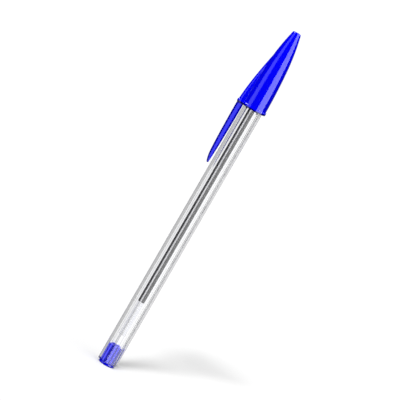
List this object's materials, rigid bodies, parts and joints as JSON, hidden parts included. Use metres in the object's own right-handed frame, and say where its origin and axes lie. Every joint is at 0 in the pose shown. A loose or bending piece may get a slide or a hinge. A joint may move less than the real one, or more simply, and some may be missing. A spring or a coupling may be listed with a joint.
{
  "type": "stick ballpoint pen",
  "caption": "Stick ballpoint pen with a clear hexagonal barrel, a pull-off vented cap with a pocket clip, an end plug, and a refill whose ball rolls in its socket.",
  "frame": {"origin": "centre of the end plug's flat end face, which the pen stands on", "axes": "+Z along the pen from the end plug to the cap's end, -X towards the clip, and the barrel's flats turned 11 degrees about +Z from facing +Y and -Y"},
  "size_m": [0.0125, 0.0106, 0.149],
  "materials": {
    "cap_plastic": "gloss",
    "barrel_clear": "polished",
    "plug_plastic": "gloss",
    "tube_plastic": "satin",
    "ink": "gloss",
    "tip_brass": "polished",
    "socket_metal": "polished",
    "ball_carbide": "polished"
  },
  "bodies": {
    "pen": {"barrel": "barrel_clear", "end_plug": "plug_plastic", "ink_tube": "tube_plastic", "ink_column": "ink", "tip_holder": "tip_brass", "ball_socket": "socket_metal"},
    "cap": {"cap": "cap_plastic"},
    "ball": {"ball": "ball_carbide"}
  },
  "joints": [
    {"name": "cap_slide", "type": "slide", "parent": "pen", "child": "cap", "axis": [0, 0, 1], "range_m": [0, 0.06]},
    {"name": "ball_roll", "type": "hinge", "parent": "pen", "child": "ball", "pos_m": [0, 0, 0.14285], "axis": [0, 1, 0], "continuous": true}
  ]
}
